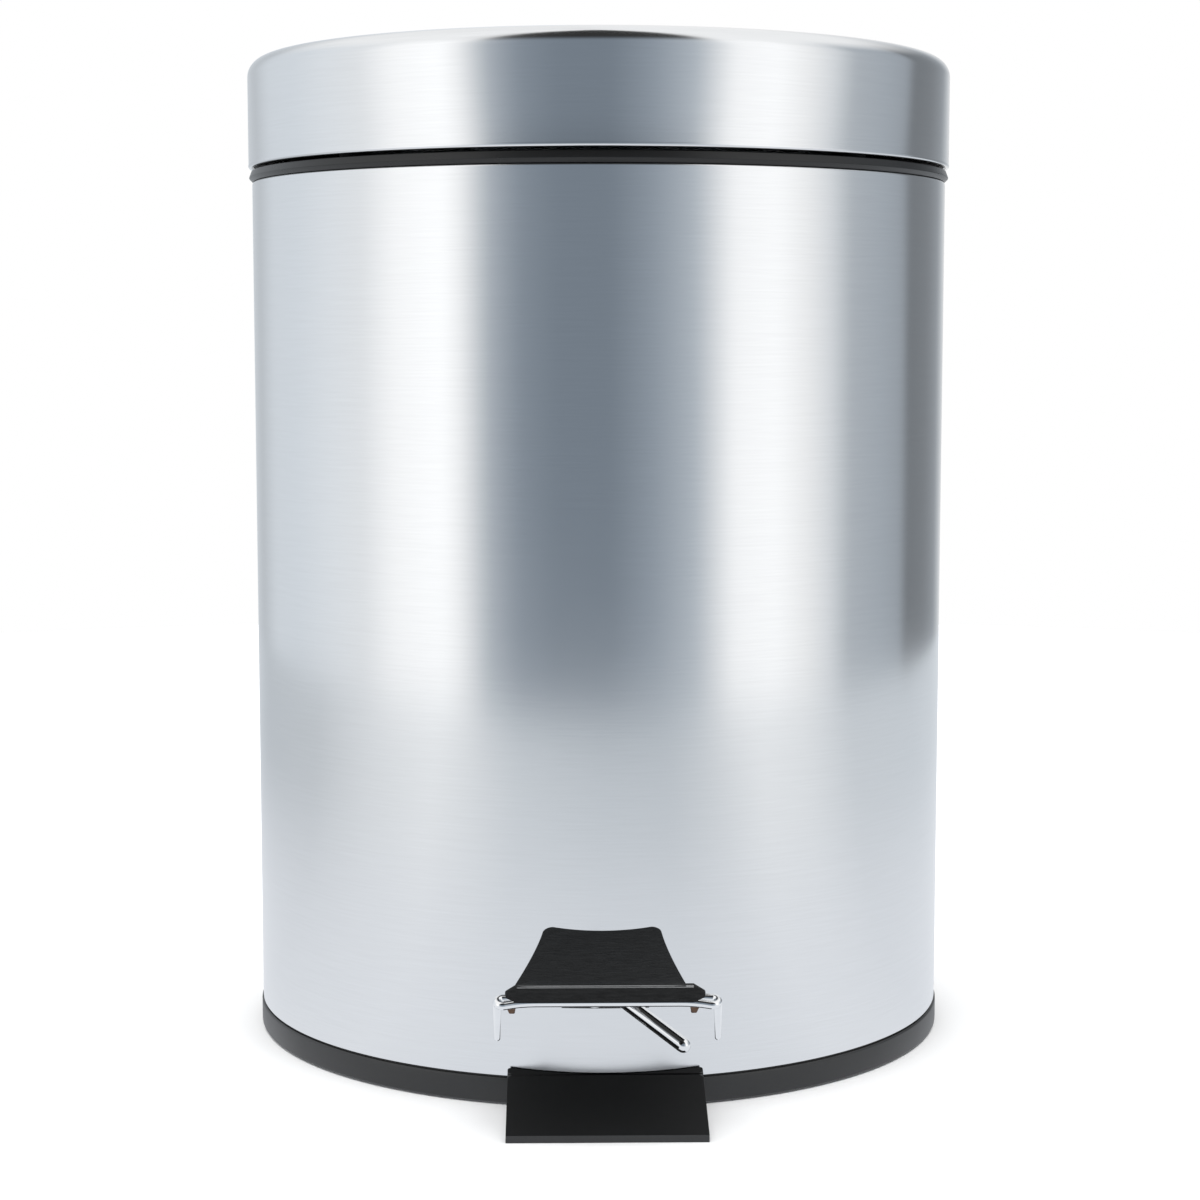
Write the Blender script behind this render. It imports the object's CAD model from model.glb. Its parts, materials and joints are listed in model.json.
import json
from math import acos, atan2, cos, degrees, pi, radians, sin, sqrt

import bpy
from mathutils import Matrix, Vector


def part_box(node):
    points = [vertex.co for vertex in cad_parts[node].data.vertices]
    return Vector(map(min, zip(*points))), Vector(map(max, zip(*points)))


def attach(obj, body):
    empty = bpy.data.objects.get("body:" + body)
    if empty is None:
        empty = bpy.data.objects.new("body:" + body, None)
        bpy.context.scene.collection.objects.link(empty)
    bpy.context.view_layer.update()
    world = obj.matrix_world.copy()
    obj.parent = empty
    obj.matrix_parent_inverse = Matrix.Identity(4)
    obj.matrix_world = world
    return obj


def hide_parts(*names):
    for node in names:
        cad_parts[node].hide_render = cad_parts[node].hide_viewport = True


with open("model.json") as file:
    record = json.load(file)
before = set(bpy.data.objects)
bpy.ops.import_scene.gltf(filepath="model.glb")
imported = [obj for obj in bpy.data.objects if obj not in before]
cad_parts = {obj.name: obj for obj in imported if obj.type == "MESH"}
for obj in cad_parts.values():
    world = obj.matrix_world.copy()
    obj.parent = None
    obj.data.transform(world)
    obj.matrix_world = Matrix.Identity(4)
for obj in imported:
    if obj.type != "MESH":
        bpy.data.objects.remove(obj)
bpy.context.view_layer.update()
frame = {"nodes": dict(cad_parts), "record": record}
NODES = frame["nodes"]

MM = 0.001
FULL_TURN = 2 * pi
ROUND_STEPS = 256      # steps of a turned piece as wide as the can
WIRE_STEPS = 28        # sides of a wire

# ---- sizes taken from the frame ----

SHELL_LOW, SHELL_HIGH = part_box("body_shell")
LID_LOW, LID_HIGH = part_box("lid_cap")
RIM_LOW, RIM_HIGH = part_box("rim_ring")
BASE_LOW, BASE_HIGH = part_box("base_ring")
TOE_LOW, TOE_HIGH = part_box("toe_plate")
BEZEL_LOW, BEZEL_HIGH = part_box("slot_bezel")
TONGUE_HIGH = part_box("lid_bracket")[1]

BODY_R = SHELL_HIGH.x
SHEET = 0.6 * MM
BODY_TOP = SHELL_HIGH.z
BEAD = 0.8 * MM
LID_R = LID_HIGH.x - 0.1 * MM
LID_FILLET = 5 * MM


# ---- working in edit mode ----

def deselect():
    if bpy.context.mode != "OBJECT":
        bpy.ops.object.mode_set(mode="OBJECT")
    bpy.ops.object.select_all(action="DESELECT")
    bpy.context.tool_settings.mesh_select_mode = (True, False, False)


def work_on(piece):
    """Selects one piece alone and makes it the active one."""
    deselect()
    piece.select_set(True)
    bpy.context.view_layer.objects.active = piece


def pick(piece, kind, wanted):
    """Enters edit mode with only the wanted faces or edges of a piece selected."""
    work_on(piece)
    bpy.context.tool_settings.mesh_select_mode = (False, kind == "edges", kind == "polygons")
    bpy.ops.object.mode_set(mode="EDIT")
    bpy.ops.mesh.select_all(action="DESELECT")
    bpy.ops.object.mode_set(mode="OBJECT")
    for part in getattr(piece.data, kind):
        part.select = wanted(part)
    bpy.ops.object.mode_set(mode="EDIT")


def settle(piece):
    """Puts the piece's place into its mesh."""
    work_on(piece)
    bpy.ops.object.transform_apply(location=True, rotation=True, scale=True)
    return piece


def close_up(piece, smooth=30):
    """Merges what meets, points the faces outwards and leaves edit mode."""
    bpy.ops.mesh.select_all(action="SELECT")
    bpy.ops.mesh.remove_doubles(threshold=0.001 * MM)
    bpy.ops.mesh.normals_make_consistent(inside=False)
    bpy.ops.object.mode_set(mode="OBJECT")
    work_on(piece)
    bpy.ops.object.shade_smooth_by_angle(angle=radians(smooth))
    return piece


def traced(name, points):
    """A new mesh, left in edit mode, with one line drawn through the points."""
    deselect()
    bpy.ops.mesh.primitive_plane_add(size=MM)
    piece = bpy.context.object
    piece.name = name
    bpy.ops.object.mode_set(mode="EDIT")
    bpy.ops.mesh.select_all(action="SELECT")
    bpy.ops.mesh.merge(type="CENTER")
    bpy.ops.transform.translate(value=points[0])
    for here, there in zip(points, points[1:]):
        step = Vector(there) - Vector(here)
        bpy.ops.mesh.extrude_vertices_move(TRANSFORM_OT_translate={"value": step})
    return piece


def turned(name, outline, steps=ROUND_STEPS, smooth=30):
    """An outline of (radius, height) in metres, spun about the can's axis."""
    piece = traced(name, [(r, 0, z) for r, z in outline])
    bpy.ops.mesh.select_all(action="SELECT")
    bpy.ops.mesh.spin(steps=steps, angle=FULL_TURN, center=(0, 0, 0), axis=(0, 0, 1))
    return close_up(piece, smooth)


def arc(centre, radius, start, end, steps=8):
    """Points of an arc in (radius, height), between two angles in degrees."""
    turns = [radians(start + (end - start) * i / steps) for i in range(steps + 1)]
    return [(centre[0] + radius * cos(a), centre[1] + radius * sin(a)) for a in turns]


def closed(points):
    return points + points[:1]


def cut(piece, low, high):
    """Takes a box out of a piece."""
    deselect()
    bpy.ops.mesh.primitive_cube_add(size=1, location=(Vector(low) + Vector(high)) / 2)
    tool = bpy.context.object
    tool.scale = Vector(high) - Vector(low)
    carve(piece, tool)


def carve(piece, tool):
    """Takes a tool's shape out of a piece and throws the tool away."""
    work_on(piece)
    cutter = piece.modifiers.new("cut", "BOOLEAN")
    cutter.operation = "DIFFERENCE"
    cutter.solver = "EXACT"
    cutter.object = tool
    bpy.ops.object.modifier_apply(modifier=cutter.name)
    bpy.data.objects.remove(tool)


def soften(piece, width, segments=2, angle=35):
    """Rounds a piece's sharp edges."""
    work_on(piece)
    bevel = piece.modifiers.new("soften", "BEVEL")
    bevel.width = width
    bevel.segments = segments
    bevel.limit_method = "ANGLE"
    bevel.angle_limit = radians(angle)
    bevel.harden_normals = False
    bpy.ops.object.modifier_apply(modifier=bevel.name)
    bpy.ops.object.shade_smooth_by_angle(angle=radians(40))
    return piece


def box_piece(name, low, high):
    deselect()
    bpy.ops.mesh.primitive_cube_add(size=1, location=(Vector(low) + Vector(high)) / 2)
    piece = bpy.context.object
    piece.name = name
    piece.scale = Vector(high) - Vector(low)
    return settle(piece)


def joined(name, *pieces):
    """Makes several meshes one piece."""
    deselect()
    for piece in pieces:
        piece.select_set(True)
    bpy.context.view_layer.objects.active = pieces[0]
    bpy.ops.object.join()
    pieces[0].name = name
    return pieces[0]


def placed(piece, matrix):
    """Moves a finished mesh to its place in the can."""
    piece.matrix_world = matrix
    return settle(piece)


def bent_wire(name, radius, start, heading, moves, end_scale=0.7):
    """Round wire from a start point: ("run", length) or ("turn", pivot, axis, degrees)."""
    heading = Vector(heading).normalized()
    deselect()
    turn = heading.to_track_quat("Z", "Y").to_euler()
    bpy.ops.mesh.primitive_circle_add(
        vertices=WIRE_STEPS, radius=radius, fill_type="NGON", location=start, rotation=turn)
    piece = bpy.context.object
    piece.name = name
    settle(piece)
    bpy.ops.object.mode_set(mode="EDIT")
    bpy.ops.mesh.select_all(action="SELECT")
    tip = Vector(start)
    for move in moves:
        if move[0] == "run":
            step = heading * move[1]
            bpy.ops.mesh.extrude_region_move(TRANSFORM_OT_translate={"value": step})
            tip += step
        else:
            pivot, axis, angle = Vector(move[1]), Vector(move[2]), radians(move[3])
            steps = max(4, round(abs(degrees(angle)) / 5))
            bpy.ops.mesh.spin(steps=steps, angle=-angle, center=pivot, axis=axis)
            swing = Matrix.Rotation(angle, 3, axis)
            tip = pivot + swing @ (tip - pivot)
            heading = swing @ heading
    blunt = radius * (1 - end_scale)
    bpy.ops.mesh.extrude_region_move(TRANSFORM_OT_translate={"value": heading * blunt})
    bpy.ops.transform.resize(value=(end_scale,) * 3, center_override=tip + heading * blunt)
    return close_up(piece, 50)


# ---- materials ----

def new_material(name):
    material = bpy.data.materials.new(name)
    material.use_nodes = True
    nodes = material.node_tree.nodes
    return material, nodes, material.node_tree.links, nodes["Principled BSDF"]


def node(tree_nodes, kind, **settings):
    made = tree_nodes.new(kind)
    for key, value in settings.items():
        if key in made.inputs:
            made.inputs[key].default_value = value
        else:
            setattr(made, key, value)
    return made


def new_group(name, inputs, outputs):
    """An empty node group with float inputs and the given outputs."""
    group = bpy.data.node_groups.new(name, "ShaderNodeTree")
    for label, default in inputs.items():
        kind = "NodeSocketColor" if isinstance(default, tuple) else "NodeSocketFloat"
        socket = group.interface.new_socket(name=label, in_out="INPUT", socket_type=kind)
        socket.default_value = default
    for label, kind in outputs.items():
        group.interface.new_socket(name=label, in_out="OUTPUT", socket_type=kind)
    source = group.nodes.new("NodeGroupInput")
    sink = group.nodes.new("NodeGroupOutput")
    return group, group.nodes, group.links, source, sink


def grain_group():
    """Fine stretched noise for brushed, crinkled and moulded surfaces."""
    group, nodes, links, source, sink = new_group(
        "stretched_grain",
        {"Along X": 400.0, "Along Y": 400.0, "Along Z": 400.0, "Depth": 0.02, "Detail": 3.0},
        {"Mask": "NodeSocketFloat", "Normal": "NodeSocketVector"})
    place = nodes.new("ShaderNodeTexCoord")
    stretch = nodes.new("ShaderNodeCombineXYZ")
    for axis in "XYZ":
        links.new(source.outputs["Along " + axis], stretch.inputs[axis])
    scaled = node(nodes, "ShaderNodeVectorMath", operation="MULTIPLY")
    links.new(place.outputs["Object"], scaled.inputs[0])
    links.new(stretch.outputs[0], scaled.inputs[1])
    noise = node(nodes, "ShaderNodeTexNoise", Scale=1.0, Roughness=0.6)
    links.new(scaled.outputs[0], noise.inputs["Vector"])
    links.new(source.outputs["Detail"], noise.inputs["Detail"])
    bump = node(nodes, "ShaderNodeBump", Strength=1.0)
    links.new(source.outputs["Depth"], bump.inputs["Distance"])
    links.new(noise.outputs["Fac"], bump.inputs["Height"])
    links.new(noise.outputs["Fac"], sink.inputs["Mask"])
    links.new(bump.outputs["Normal"], sink.inputs["Normal"])
    return group


def smudge_group():
    """Broad soft patches, such as polish that varies and faint finger marks."""
    group, nodes, links, source, sink = new_group(
        "soft_patches", {"Scale": 12.0, "Low": 0.4, "High": 0.6}, {"Value": "NodeSocketFloat"})
    place = nodes.new("ShaderNodeTexCoord")
    noise = node(nodes, "ShaderNodeTexNoise", Detail=4.0, Roughness=0.55)
    links.new(place.outputs["Object"], noise.inputs["Vector"])
    links.new(source.outputs["Scale"], noise.inputs["Scale"])
    spread = nodes.new("ShaderNodeMapRange")
    spread.inputs["From Min"].default_value = 0.3
    spread.inputs["From Max"].default_value = 0.7
    links.new(noise.outputs["Fac"], spread.inputs["Value"])
    links.new(source.outputs["Low"], spread.inputs["To Min"])
    links.new(source.outputs["High"], spread.inputs["To Max"])
    links.new(spread.outputs["Result"], sink.inputs["Value"])
    return group


GRAIN = grain_group()
SMUDGE = smudge_group()


def use_group(nodes, group, **values):
    made = nodes.new("ShaderNodeGroup")
    made.node_tree = group
    for key, value in values.items():
        made.inputs[key.replace("_", " ")].default_value = value
    return made


def mixed_colour(nodes, links, mask, dark, light):
    mix = nodes.new("ShaderNodeMix")
    mix.data_type = "RGBA"
    links.new(mask, mix.inputs["Factor"])
    mix.inputs["A"].default_value = (*dark, 1)
    mix.inputs["B"].default_value = (*light, 1)
    return mix.outputs["Result"]


def metal(name, dark, light, rough, depth, stretch, patch=14.0):
    """A metal whose polish and brushing vary over the surface."""
    material, nodes, links, shader = new_material(name)
    shader.inputs["Metallic"].default_value = 1.0
    along_x, along_y, along_z = stretch
    grain = use_group(nodes, GRAIN, Along_X=along_x, Along_Y=along_y, Along_Z=along_z, Depth=depth)
    colour = mixed_colour(nodes, links, grain.outputs["Mask"], dark, light)
    links.new(colour, shader.inputs["Base Color"])
    polish = use_group(nodes, SMUDGE, Scale=patch, Low=rough[0], High=rough[1])
    links.new(polish.outputs["Value"], shader.inputs["Roughness"])
    links.new(grain.outputs["Normal"], shader.inputs["Normal"])
    return material


def plastic(name, dark, light, rough, depth, scale, specular=0.5):
    """A moulded plastic or rubber with a fine spark-eroded grain."""
    material, nodes, links, shader = new_material(name)
    shader.inputs["Specular IOR Level"].default_value = specular
    grain = use_group(nodes, GRAIN, Along_X=scale, Along_Y=scale, Along_Z=scale, Depth=depth, Detail=4.0)
    colour = mixed_colour(nodes, links, grain.outputs["Mask"], dark, light)
    links.new(colour, shader.inputs["Base Color"])
    sheen = use_group(nodes, SMUDGE, Scale=25.0, Low=rough[0], High=rough[1])
    links.new(sheen.outputs["Value"], shader.inputs["Roughness"])
    links.new(grain.outputs["Normal"], shader.inputs["Normal"])
    return material


def grey(value, tint=0.0):
    return (value, value * (1 + tint / 2), value * (1 + tint))


SATIN_STEEL = metal(
    "satin_steel", grey(0.74, 0.03), grey(0.80, 0.03), (0.13, 0.17), 0.0000008, (60, 60, 2600))
CHROME = metal(
    "chrome_wire", grey(0.82, 0.02), grey(0.88, 0.02), (0.05, 0.08), 0.0000005, (300, 300, 300))
ZINC = metal(
    "zinc_steel", grey(0.52, 0.02), grey(0.66, 0.02), (0.28, 0.4), 0.000004, (900, 900, 900))
BROWN_STEEL = metal(
    "brown_steel", (0.10, 0.06, 0.045), (0.2, 0.13, 0.09), (0.35, 0.5), 0.000006, (800, 800, 800))
BLACK_PLASTIC = plastic(
    "black_plastic", grey(0.012, 0.04), grey(0.018, 0.04), (0.36, 0.44), 0.000006, 1800)
RIM_PLASTIC = plastic(
    "rim_plastic", grey(0.006, 0.04), grey(0.010, 0.04), (0.26, 0.32), 0.000004, 1800, 0.4)
TOE_PLASTIC = plastic(
    "toe_plastic", grey(0.004, 0.04), grey(0.007, 0.04), (0.42, 0.5), 0.000006, 1800, 0.16)
TOE_EDGE = plastic(
    "toe_edge", grey(0.022, 0.04), grey(0.034, 0.04), (0.42, 0.5), 0.000006, 1800, 0.4)
GROOVE_BLACK = plastic("groove_black", grey(0.002), grey(0.004), (0.5, 0.6), 0.000002, 1800, 0.1)
WORN_EDGE = plastic("worn_edge", grey(0.10, 0.04), grey(0.17, 0.04), (0.3, 0.4), 0.000006, 1400)
RUBBER = plastic("black_rubber", grey(0.016), grey(0.024), (0.6, 0.75), 0.00001, 1500, 0.3)
BUCKET_PLASTIC = plastic(
    "bucket_plastic", grey(0.030, 0.05), grey(0.040, 0.05), (0.38, 0.5), 0.00001, 1200)
NYLON = plastic("white_nylon", (0.72, 0.71, 0.67), (0.8, 0.79, 0.75), (0.4, 0.5), 0.000005, 1500)


def pad_vinyl():
    """Black vinyl with long level crinkles."""
    material, nodes, links, shader = new_material("pad_vinyl")
    fine = use_group(
        nodes, GRAIN, Along_X=260.0, Along_Y=1500.0, Along_Z=1500.0, Depth=0.0005, Detail=6.0)
    colour = mixed_colour(nodes, links, fine.outputs["Mask"], grey(0.0008, 0.1), grey(0.017, 0.08))
    links.new(colour, shader.inputs["Base Color"])
    shader.inputs["Specular IOR Level"].default_value = 0.17
    sheen = use_group(nodes, SMUDGE, Scale=90.0, Low=0.38, High=0.52)
    links.new(sheen.outputs["Value"], shader.inputs["Roughness"])
    links.new(fine.outputs["Normal"], shader.inputs["Normal"])
    return material


PAD_VINYL = pad_vinyl()
FINISHES = {
    "satin_steel": SATIN_STEEL, "chrome_wire": CHROME, "zinc_steel": ZINC, "brown_steel": BROWN_STEEL,
    "black_plastic": BLACK_PLASTIC, "black_rubber": RUBBER, "bucket_plastic": BUCKET_PLASTIC,
    "white_nylon": NYLON, "pad_vinyl": PAD_VINYL}
SLOT_OF = {part["node"]: part["material_slot"] for part in frame["record"]["subparts"]}
BODIES = frame["record"]["behaviour"]["bodies"]
BODY_OF = {name: body for body, names in BODIES.items() for name in names}


def dress(piece, finish):
    piece.data.materials.clear()
    piece.data.materials.append(finish)


def stands_for(piece, name, finish=None):
    """Gives a finished piece its CAD node's body and finish, and hides that node."""
    dress(piece, finish or FINISHES[SLOT_OF[name]])
    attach(piece, BODY_OF[name])
    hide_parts(name)


def second_finish(piece, finish, wanted):
    """Gives the wanted faces of a finished piece another finish."""
    piece.data.materials.append(finish)
    for face in piece.data.polygons:
        if wanted(face):
            face.material_index = 1


def finish_cad_nodes():
    for name, cad in NODES.items():
        material = FINISHES[SLOT_OF[name]]
        if not cad.material_slots:
            cad.data.materials.append(material)
        for slot in cad.material_slots:
            slot.material = material


# ---- the can ----

def steel_body():
    low = SHELL_LOW.z
    centre = (BODY_R - BEAD, BODY_TOP - BEAD)
    inner = BODY_R - SHEET
    meet = -degrees(acos((inner - centre[0]) / BEAD))
    slot_low, slot_high = BEZEL_LOW.z + 0.5 * MM, BEZEL_HIGH.z - 1.5 * MM
    levels = [low, slot_low - MM, slot_high + MM]
    outline = [(BODY_R, z) for z in levels]
    outline += arc(centre, BEAD, 0, 360 + meet, 20)
    outline += [(inner, z) for z in reversed(levels)]
    piece = turned("steel_body", closed(outline))
    half = BEZEL_HIGH.x - 1.6 * MM
    cut(piece, (-half, -BODY_R - MM, slot_low), (half, -BODY_R + 8 * MM, slot_high))
    cut(piece, (-10 * MM, BODY_R - 4 * MM, BODY_TOP - 5.6 * MM), (10 * MM, BODY_R + MM, BODY_TOP + MM))
    stands_for(piece, "body_shell")


def base_moulding():
    r, low, high = BASE_HIGH.x, BASE_LOW.z, BASE_HIGH.z
    neck, plug = BODY_R - 0.5 * MM, BODY_R - SHEET
    top = SHELL_LOW.z - 0.6 * MM
    inner, rib = 84.9 * MM, 91.9 * MM
    groove_in, groove_out, groove_top = 93.9 * MM, 98.9 * MM, 2.4 * MM
    web_low, web_top = 3.4 * MM, 5.4 * MM
    outline = [
        (inner, web_low), (rib, web_low), (rib, low), (groove_in, low),
        (groove_in, groove_top), (groove_out, groove_top), (groove_out, low), (r - 0.5 * MM, low)]
    outline += arc((r - 0.5 * MM, low + 0.5 * MM), 0.5 * MM, -90, 0, 4)[1:]
    outline += arc((r - 0.6 * MM, top - 0.6 * MM), 0.6 * MM, 0, 90, 4)
    outline += [(neck, top), (neck, SHELL_LOW.z), (plug, SHELL_LOW.z), (plug, high),
                (plug - 1.5 * MM, high), (plug - 1.5 * MM, web_top), (inner, web_top)]
    piece = turned("base_moulding", closed(outline))
    toe_half, toe_depth = 18.2 * MM, 24 * MM
    cut(piece, (-toe_half, -r - MM, -MM), (toe_half, -r + toe_depth, web_low))
    stands_for(piece, "base_ring")


def rim_moulding():
    inner, tip, top = 88.2 * MM, RIM_HIGH.x, RIM_HIGH.z
    plug = BODY_R - SHEET - 1.1 * MM
    wall, under = 1.4 * MM, top - 2.2 * MM
    skirt = under - 3.6 * MM
    outline = [(inner + 0.5 * MM, top), (BODY_R - 0.1 * MM, top)]
    outline += [(BODY_R + 0.25 * MM, top - 0.25 * MM)]
    outline += arc((tip - 0.3 * MM, top - 2 * MM), 0.3 * MM, 25, -40, 4)
    outline += [(BODY_R - 0.2 * MM, BODY_TOP), (plug, BODY_TOP), (plug, RIM_LOW.z),
                (plug - 1.6 * MM, RIM_LOW.z), (plug - 1.6 * MM, under), (inner + wall, under),
                (inner + wall, skirt), (inner, skirt), (inner, top - 0.5 * MM)]
    piece = turned("rim_moulding", closed(outline))
    half = TONGUE_HIGH.x + 0.5 * MM
    cut(piece, (-half, inner - 12 * MM, RIM_LOW.z - MM), (half, BODY_R + 4 * MM, top + MM))
    stands_for(piece, "rim_ring", RIM_PLASTIC)


# ---- the lid ----

def lid_shell():
    top = LID_HIGH.z
    hem = (LID_R - 0.7 * MM, LID_LOW.z + BEAD)
    corner = (LID_R - LID_FILLET, top - LID_FILLET)
    out_meet = degrees(acos(0.7 * MM / BEAD))
    in_meet = degrees(acos(0.1 * MM / BEAD))
    outline = arc(hem, BEAD, in_meet, 360 + out_meet, 24)
    outline += arc(corner, LID_FILLET, 0, 90, 20)
    outline += [(corner[0] * f, top) for f in (0.75, 0.5, 0.25, 0)]
    outline += [(corner[0] * f, top - SHEET) for f in (0, 0.25, 0.5, 0.75)]
    outline += arc(corner, LID_FILLET - SHEET, 90, 0, 12)
    piece = turned("lid_shell", closed(outline))
    stands_for(piece, "lid_cap")


# ---- the pedal ----

WIRE_R = 1.1 * MM
TILT = radians(20.5)
PEDAL_Y = -130 * MM
PEDAL_Z = 36.4 * MM
ON_PEDAL = Matrix.Translation((0, PEDAL_Y, PEDAL_Z)) @ Matrix.Rotation(TILT, 4, "X")
PAD_T = 3.1 * MM
PAD_LEN = 28 * MM
PAD_LOW = WIRE_R
PAD_TOP = WIRE_R + PAD_T
LEVER_HALF = 6 * MM
LEG_RADII = (1.15 * MM, 0.8 * MM)
LEG_LEN = 10 * MM
ROD_FROM = Vector((-4.3, 22, 1.6)) * MM     # the rod's ends, from the wire's front run
ROD_TO = Vector((21, 5.8, -14)) * MM
ROD_R = 1.95 * MM
ROD_HOLE_R = 0.5 * MM
ROD_HOLE_IN = 2.2 * MM
FRAME_HALF = 28 * MM
FRAME_CORNER = WIRE_R + 0.4 * MM
FRAME_SWELL_R = 26.7 * MM
FRAME_SWELL = 17
FRAME_TURN = 84


def round_pin(name, start, way, radii, length):
    """A round pin that tapers between two radii and ends in a dome."""
    way = Vector(way).normalized()
    deselect()
    bpy.ops.mesh.primitive_circle_add(
        vertices=32, radius=radii[0], fill_type="NGON", location=start,
        rotation=way.to_track_quat("Z", "Y").to_euler())
    piece = settle(bpy.context.object)
    piece.name = name
    bpy.ops.object.mode_set(mode="EDIT")
    bpy.ops.mesh.select_all(action="SELECT")
    tip = Vector(start)
    steps = [(length - radii[1], radii[1] / radii[0])]
    angles = [radians(a) for a in (0, 20, 40, 58, 74, 86)]
    for low, high in zip(angles, angles[1:]):
        steps.append((radii[1] * (sin(high) - sin(low)), cos(high) / cos(low)))
    for reach, share in steps:
        bpy.ops.mesh.extrude_region_move(TRANSFORM_OT_translate={"value": way * reach})
        tip += way * reach
        bpy.ops.transform.resize(value=(share,) * 3, center_override=tip)
    return close_up(piece, 45)


def wire_frame():
    swell, turn = radians(FRAME_SWELL), radians(FRAME_TURN)
    corner_x = FRAME_HALF - FRAME_CORNER
    straight = corner_x - (FRAME_CORNER + FRAME_SWELL_R) * sin(swell)
    fore = FRAME_SWELL_R * (1 - cos(swell))
    side_u = FRAME_CORNER * cos(swell) - fore
    run = (corner_x + FRAME_CORNER * cos(turn) - LEVER_HALF) / sin(turn)
    parts = []
    for side in (1, -1):
        moves = [
            ("run", straight),
            ("turn", (side * straight, -FRAME_SWELL_R, 0), (0, 0, 1), -side * FRAME_SWELL),
            ("turn", (side * corner_x, side_u, 0), (0, 0, 1), side * (FRAME_SWELL + 90 + FRAME_TURN)),
            ("run", run - 0.4 * MM)]
        wire = bent_wire("wire", WIRE_R, (0, 0, 0), (side, 0, 0), moves)
        parts.append(placed(wire, ON_PEDAL))
        top = ON_PEDAL @ Vector((side * FRAME_HALF, side_u, 0))
        parts.append(round_pin("leg", top, (0, 0, -1), LEG_RADII, LEG_LEN))
    stands_for(joined("wire_frame", *parts), "pedal_frame")


def slanting_rod():
    """The round stop rod: two dark rolled grooves, a domed end and a small hole across it."""
    front_run = Vector((0, PEDAL_Y, PEDAL_Z))
    start, end = front_run + ROD_FROM, front_run + ROD_TO
    way = (end - start).normalized()
    piece = round_pin("slanting_rod", start, way, (ROD_R, ROD_R), (end - start).length)
    front = (Vector((0, -1, 0.3)) - way * Vector((0, -1, 0.3)).dot(way)).normalized()
    up = way.cross(front)
    up *= 1 if up.z > 0 else -1

    def in_groove(face):
        tilt = degrees(atan2(face.normal.dot(up), face.normal.dot(front)))
        return abs(face.normal.dot(way)) < 0.1 and (20 < tilt < 46 or -62 < tilt < -36)

    pick(piece, "polygons", in_groove)
    bpy.ops.mesh.inset(thickness=0.05 * MM, depth=-0.12 * MM)
    bpy.ops.object.mode_set(mode="OBJECT")
    sunk = {face.index for face in piece.data.polygons if face.select}
    stands_for(piece, "stop_rod")
    second_finish(piece, GROOVE_BLACK, lambda face: face.index in sunk)
    mouth = end - way * ROD_HOLE_IN + front * ROD_R * 1.05
    deselect()
    bpy.ops.mesh.primitive_cylinder_add(
        vertices=24, radius=ROD_HOLE_R, depth=2 * ROD_R, location=mouth,
        rotation=front.to_track_quat("Z", "Y").to_euler())
    drill = settle(bpy.context.object)
    drill.data.materials.append(GROOVE_BLACK)
    carve(piece, drill)
    bpy.ops.object.shade_smooth_by_angle(angle=radians(40))


def tread_half_width(u):
    """Half width of the tread at a distance u from the wire, in metres."""
    corner, rear_half, flare = 2.4 * MM, 15.3 * MM, 6.4 * MM
    t = max(0.0, min(1.0, (u - 2 * MM) / (PAD_LEN - 2 * MM)))
    width = rear_half + flare * (1 - t) ** 1.35
    over = u - (PAD_LEN - corner)
    if over > 0:
        width -= corner - sqrt(max(0.0, corner * corner - over * over))
    return width


def pedal_tread():
    """The pad's dished top with a hollow rear edge, and its bull-nose front lip."""
    deselect()
    bpy.ops.mesh.primitive_grid_add(x_subdivisions=60, y_subdivisions=52, size=2)
    tread = bpy.context.object
    for vertex in tread.data.vertices:
        s, t = vertex.co.x, (vertex.co.y + 1) / 2
        middle = 1 - s * s
        t = 1 - (1 - t) ** 1.35
        u = 1 * MM + t * (PAD_LEN - 1 * MM)
        front = min(1.0, t / 0.12)
        dish = (0.95 - 0.4 * t) * MM * middle * front
        askew = (0.9 * t - 1.8) * MM
        vertex.co = (askew + s * tread_half_width(u), u - 1.0 * MM * middle * t * t, PAD_TOP - dish)
    work_on(tread)
    body = tread.modifiers.new("body", "SOLIDIFY")
    body.thickness = PAD_T - 1.05 * MM
    body.offset = -1
    bpy.ops.object.modifier_apply(modifier=body.name)
    soften(tread, 0.5 * MM, 3, 50)
    placed(tread, ON_PEDAL)

    half, nose, reach = 22.4 * MM, 2 * MM, 3 * MM
    lip = box_piece("lip", (-half, -nose, PAD_LOW), (half, 2.6 * MM, PAD_TOP))
    for vertex in lip.data.vertices:
        if vertex.co.z > PAD_LOW + MM and vertex.co.y < 0:
            vertex.co.y = 1.1 * MM
    for side in (-1, 1):
        pick(lip, "polygons", lambda face: face.normal.x * side > 0.9)
        bpy.ops.mesh.extrude_region_move(TRANSFORM_OT_translate={"value": (side * reach, 0, 0)})
        end = (side * (half + reach), 0.2 * MM, PAD_LOW + PAD_T * 0.42)
        bpy.ops.transform.resize(value=(1, 0.5, 0.25), center_override=end)
    close_up(lip, 30)
    soften(lip, 0.55 * MM, 4, 25)
    lip.data.transform(Matrix.Translation((-0.6 * MM, 0, 0)))
    placed(lip, ON_PEDAL)
    piece = joined("pedal_tread", tread, lip)
    stands_for(piece, "pedal_pad")
    back = ON_PEDAL.inverted()

    def lip_edge(face):
        normal, centre = back.to_3x3() @ face.normal, back @ face.center
        on_edge = 0.6 * MM < centre.y < 1.9 * MM and centre.z > PAD_TOP - 0.5 * MM
        return on_edge and -0.66 < normal.y < -0.04 and abs(centre.x) < half

    second_finish(piece, WORN_EDGE, lip_edge)


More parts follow.
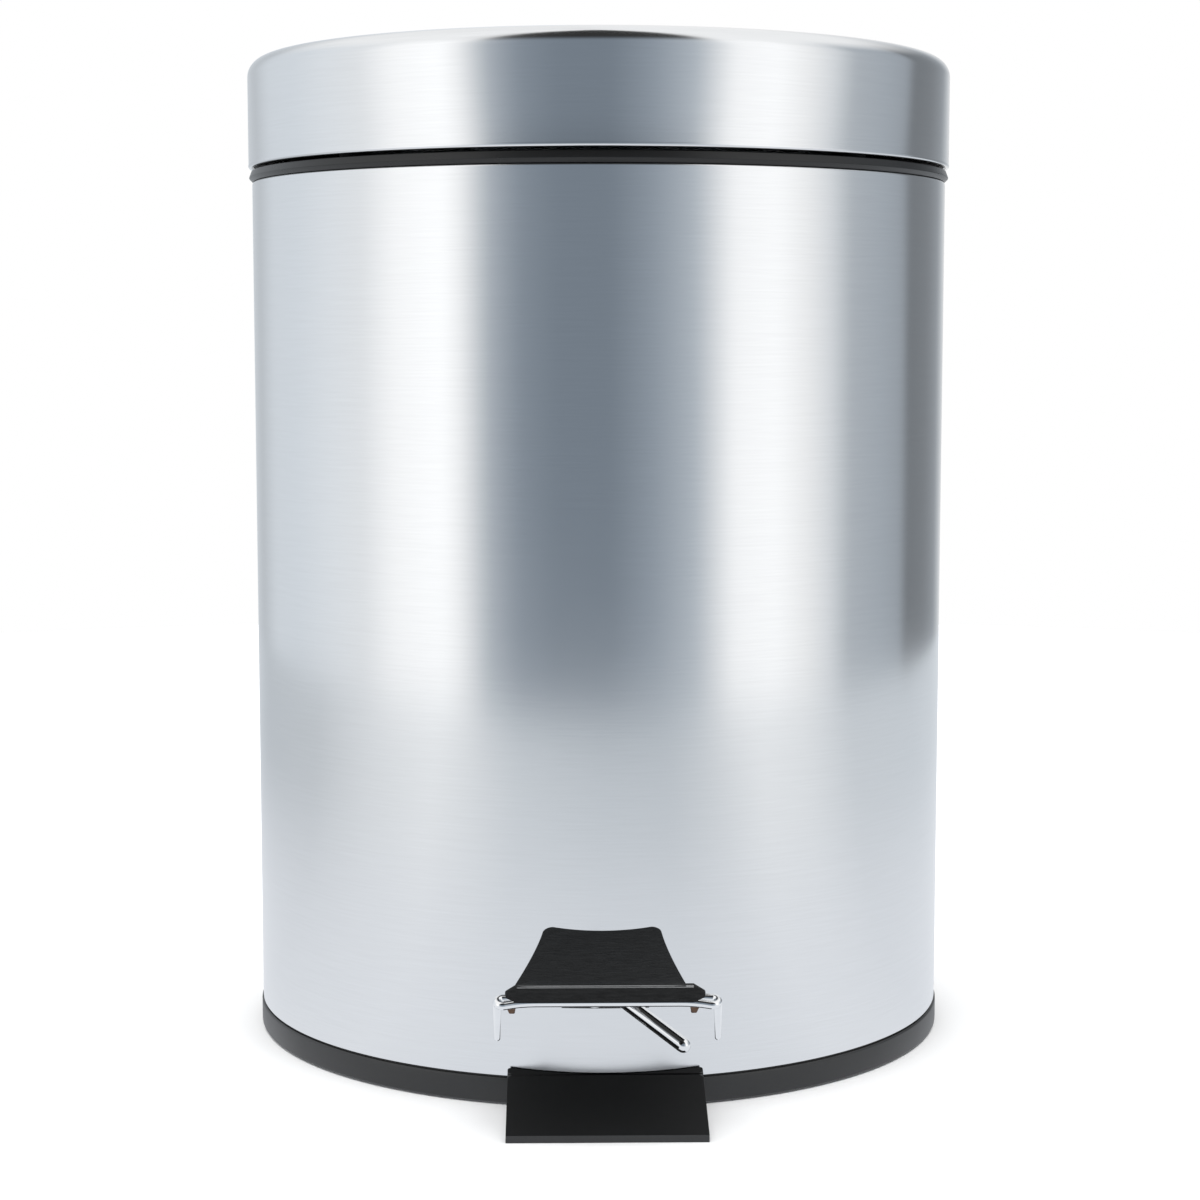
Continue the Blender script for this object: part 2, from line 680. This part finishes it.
def hook_clips():
    """The two bent tabs that hold the pad to the wire."""
    tabs = []
    half, foot_z = 1.7 * MM, -3.8 * MM
    for x, lean in ((-24.7 * MM, 1), (22.4 * MM, -1)):
        tab = box_piece("tab", (x - half, 0.2 * MM, foot_z), (x + half, 3.2 * MM, 0.2 * MM))
        pick(tab, "polygons", lambda face: face.normal.z < -0.9)
        foot = (x + lean * 0.7 * MM, 1 * MM, foot_z)
        bpy.ops.transform.resize(value=(0.42, 0.6, 1), center_override=foot)
        close_up(tab)
        soften(tab, 0.25 * MM, 2)
        tabs.append(placed(tab, ON_PEDAL))
    stands_for(joined("hook_clips", *tabs), "pad_clips")


def shape_top(piece, rises):
    """Sets the height of a wedge's top along Y, from (place, height) pairs."""
    bpy.ops.object.mode_set(mode="EDIT")
    for place, _ in rises[1:-1]:
        bpy.ops.mesh.select_all(action="SELECT")
        bpy.ops.mesh.bisect(plane_co=(0, place, 0), plane_no=(0, 1, 0))
    bpy.ops.object.mode_set(mode="OBJECT")
    top = max(vertex.co.z for vertex in piece.data.vertices)
    for vertex in piece.data.vertices:
        if vertex.co.z > top - 0.01 * MM:
            vertex.co.z = min(rises, key=lambda rise: abs(rise[0] - vertex.co.y))[1]


def toe_wedge():
    """The wedge in front of the base, whose rear edge follows the base's round wall."""
    front, half, back = TOE_LOW.y, TOE_HIGH.x, -92.9 * MM
    wall = -BASE_HIGH.x - 0.2 * MM
    front_h, base_h, step = 1.9 * MM, 9.6 * MM, 0.4 * MM
    slope = (base_h - front_h - step) / (-BASE_HIGH.x - front - MM)
    crease = wall - 0.4 * MM

    def height(y):
        return front_h + step + slope * (y - front - MM)

    piece = box_piece("toe_wedge", (-half, front, 0), (half, back, 20 * MM))
    shape_top(piece, [
        (front, front_h), (front + MM, height(front + MM)), (crease, height(crease) - 0.12 * MM),
        (crease + 0.5 * MM, height(crease + 0.5 * MM)), (back, height(back))])
    deselect()
    bpy.ops.mesh.primitive_cylinder_add(vertices=360, radius=-wall, depth=60 * MM)
    carve(piece, bpy.context.object)

    def rear_corner(edge):
        one, two = (piece.data.vertices[i].co for i in edge.vertices)
        upright = abs(one.z - two.z) > 1.5 * MM and (one - two).xy.length < 0.1 * MM
        return upright and abs(one.x) > half - 0.1 * MM and one.y > -105 * MM

    pick(piece, "edges", rear_corner)
    bpy.ops.mesh.bevel(offset=1.1 * MM, segments=4)
    close_up(piece, 30)
    soften(piece, 0.35 * MM, 3, 28)
    stands_for(piece, "toe_plate", TOE_PLASTIC)

    def light_edge(face):
        low_front = face.center.y < front + 0.5 * MM and face.normal.y < -0.5
        side_round = abs(face.center.x) > half - 0.45 * MM and face.normal.z > 0.15
        return low_front or side_round

    second_finish(piece, TOE_EDGE, light_edge)


# ---- light, floor and camera ----

# how bright the floor is in reflections, by bearing: brightness and coolness
FLOOR = [
    (-180, 0.78, 1.12), (-140, 0.62, 1.13), (-100, 0.68, 1.1), (-75, 0.86, 1.06), (-52, 0.97, 1.04),
    (-38, 0.88, 1.06), (-25, 0.78, 1.1), (0, 0.72, 1.12), (20, 0.70, 1.12), (35, 0.80, 1.08),
    (50, 0.96, 1.04), (65, 0.92, 1.05), (85, 0.76, 1.1), (120, 0.75, 1.12), (180, 0.78, 1.12)]


def pale_floor():
    """Matt white, a little dimmer where the steel mirrors it than where it is seen."""
    material, nodes, links, shader = new_material("pale_floor")
    shader.inputs["Base Color"].default_value = (0.85, 0.85, 0.85, 1)
    shader.inputs["Roughness"].default_value = 0.9
    shader.inputs["Specular IOR Level"].default_value = 0.1
    place = nodes.new("ShaderNodeTexCoord")
    split = nodes.new("ShaderNodeSeparateXYZ")
    links.new(place.outputs["Object"], split.inputs[0])
    share = bearing_share(nodes, links, split.outputs["X"], split.outputs["Y"])
    far = bearing_ramp(nodes, links, share, FLOOR)
    reach = node(nodes, "ShaderNodeVectorMath", operation="LENGTH")
    links.new(place.outputs["Object"], reach.inputs[0])
    near = nodes.new("ShaderNodeMapRange")
    near.interpolation_type = "SMOOTHSTEP"
    near.inputs["From Min"].default_value = 0.62
    near.inputs["From Max"].default_value = 0.16
    near.inputs["To Max"].default_value = 0.75
    links.new(reach.outputs["Value"], near.inputs["Value"])
    tone = nodes.new("ShaderNodeMix")
    tone.data_type = "RGBA"
    tone.inputs["B"].default_value = (0.88, 0.905, 0.95, 1)
    links.new(near.outputs["Result"], tone.inputs["Factor"])
    links.new(far, tone.inputs["A"])
    mirrored = nodes.new("ShaderNodeEmission")
    links.new(tone.outputs["Result"], mirrored.inputs["Color"])
    rays = nodes.new("ShaderNodeLightPath")
    choice = nodes.new("ShaderNodeMixShader")
    links.new(rays.outputs["Is Glossy Ray"], choice.inputs[0])
    links.new(shader.outputs[0], choice.inputs[1])
    links.new(mirrored.outputs[0], choice.inputs[2])
    links.new(choice.outputs[0], nodes["Material Output"].inputs["Surface"])
    return material


def studio():
    deselect()
    bpy.ops.mesh.primitive_circle_add(vertices=128, radius=1.05, fill_type="NGON")
    floor = bpy.context.object
    floor.name = "floor"
    floor.data.materials.append(pale_floor())

    for name, place, size, power in (
            ("ceiling_light", (0, -0.2, 2.2), 2.4, 58), ("front_light", (-0.6, -2.2, 1.5), 1.6, 14)):
        light = bpy.data.lights.new(name, "AREA")
        light.size = size
        light.energy = power
        lamp = bpy.data.objects.new(name, light)
        lamp.location = place
        lamp.rotation_euler = (Vector((0, 0, 0.1)) - Vector(place)).to_track_quat("-Z", "Y").to_euler()
        lamp.visible_glossy = False
        lamp.visible_camera = False
        bpy.context.scene.collection.objects.link(lamp)


# the room round the can, by bearing in degrees from straight in front: brightness and coolness
ROOM = [
    (-180, 0.95, 1.1), (-163, 0.66, 1.12), (-150, 0.60, 1.12), (-135, 0.80, 1.12), (-116, 0.84, 1.12),
    (-98, 0.92, 1.08), (-83, 0.95, 1.04), (-70, 1.18, 1.0), (-52, 1.30, 1.0), (-46, 1.12, 1.0),
    (-36, 0.52, 1.2), (-26, 0.32, 1.35), (-14, 0.26, 1.4), (3, 0.255, 1.4), (16, 0.37, 1.32),
    (30, 0.57, 1.2), (37, 0.9, 1.05), (43, 1.18, 1.0), (58, 1.25, 1.0), (70, 1.05, 1.0),
    (79, 0.86, 1.06), (88, 0.54, 1.15), (104, 0.48, 1.2), (116, 0.42, 1.2), (121, 0.22, 1.15),
    (136, 0.26, 1.15), (149, 0.36, 1.15), (158, 0.62, 1.1), (170, 0.95, 1.0), (180, 0.95, 1.0)]

# the same for what hangs above the can
OVERHEAD = [
    (-180, 1.0, 1.0), (-60, 1.1, 1.0), (-44, 0.95, 1.0), (-37, 0.05, 1.0), (-10, 0.03, 1.0),
    (32, 0.05, 1.0), (40, 1.1, 1.0), (180, 1.05, 1.0)]


def bearing_ramp(nodes, links, share, stops_by_bearing):
    ramp = nodes.new("ShaderNodeValToRGB")
    stops = ramp.color_ramp.elements
    while len(stops) > 1:
        stops.remove(stops[-1])
    for i, (angle, value, cool) in enumerate(stops_by_bearing):
        place = (angle + 180) / 360
        stop = stops[0] if i == 0 else stops.new(place)
        stop.position = place
        stop.color = (value / sqrt(cool), value, value * sqrt(cool), 1)
    links.new(share, ramp.inputs["Fac"])
    return ramp.outputs["Color"]


def bearing_share(nodes, links, x, y):
    """0 to 1 for a bearing from straight behind, round by the left and front, to behind again."""
    back = node(nodes, "ShaderNodeMath", operation="MULTIPLY")
    back.inputs[1].default_value = -1
    links.new(y, back.inputs[0])
    bearing = node(nodes, "ShaderNodeMath", operation="ARCTAN2")
    links.new(x, bearing.inputs[0])
    links.new(back.outputs[0], bearing.inputs[1])
    share = nodes.new("ShaderNodeMapRange")
    share.inputs["From Min"].default_value = -pi
    share.inputs["From Max"].default_value = pi
    links.new(bearing.outputs[0], share.inputs["Value"])
    return share.outputs["Result"]


def room_light():
    world = bpy.data.worlds.new("studio_room")
    bpy.context.scene.world = world
    world.use_nodes = True
    nodes, links = world.node_tree.nodes, world.node_tree.links
    background = nodes["Background"]
    way = nodes.new("ShaderNodeTexCoord")
    split = nodes.new("ShaderNodeSeparateXYZ")
    links.new(way.outputs["Generated"], split.inputs[0])
    share = bearing_share(nodes, links, split.outputs["X"], split.outputs["Y"])
    walls = bearing_ramp(nodes, links, share, ROOM)
    above = bearing_ramp(nodes, links, share, OVERHEAD)
    height = nodes.new("ShaderNodeMapRange")
    height.interpolation_type = "SMOOTHSTEP"
    height.inputs["From Min"].default_value = 0.35
    height.inputs["From Max"].default_value = 0.75
    links.new(split.outputs["Z"], height.inputs["Value"])
    overhead = nodes.new("ShaderNodeMix")
    overhead.data_type = "RGBA"
    links.new(above, overhead.inputs["B"])
    links.new(height.outputs["Result"], overhead.inputs["Factor"])
    links.new(walls, overhead.inputs["A"])
    rays = nodes.new("ShaderNodeLightPath")
    seen = nodes.new("ShaderNodeMix")
    seen.data_type = "RGBA"
    seen.inputs["B"].default_value = (1, 1, 1, 1)
    links.new(rays.outputs["Is Camera Ray"], seen.inputs["Factor"])
    links.new(overhead.outputs["Result"], seen.inputs["A"])
    links.new(seen.outputs["Result"], background.inputs["Color"])


def camera():
    data = bpy.data.cameras.new("camera")
    data.lens = 75.7
    data.sensor_width = 36
    data.clip_start = 0.01
    eye = bpy.data.objects.new("camera", data)
    bearing, distance, height, pitch = radians(1.0), 0.755, 0.20475, radians(6.01)
    eye.location = (-distance * sin(bearing), -distance * cos(bearing), height)
    eye.rotation_euler = (pi / 2 - pitch, 0, -bearing - radians(0.03))
    bpy.context.scene.collection.objects.link(eye)
    bpy.context.scene.camera = eye
    bpy.context.scene.view_settings.view_transform = "Standard"


finish_cad_nodes()
steel_body()
base_moulding()
rim_moulding()
lid_shell()
wire_frame()
slanting_rod()
pedal_tread()
hook_clips()
toe_wedge()
studio()
room_light()
camera()
# the steel shows no mirror image of the pedal
for name in ("pedal_tread", "wire_frame", "slanting_rod", "hook_clips"):
    bpy.data.objects[name].visible_glossy = False
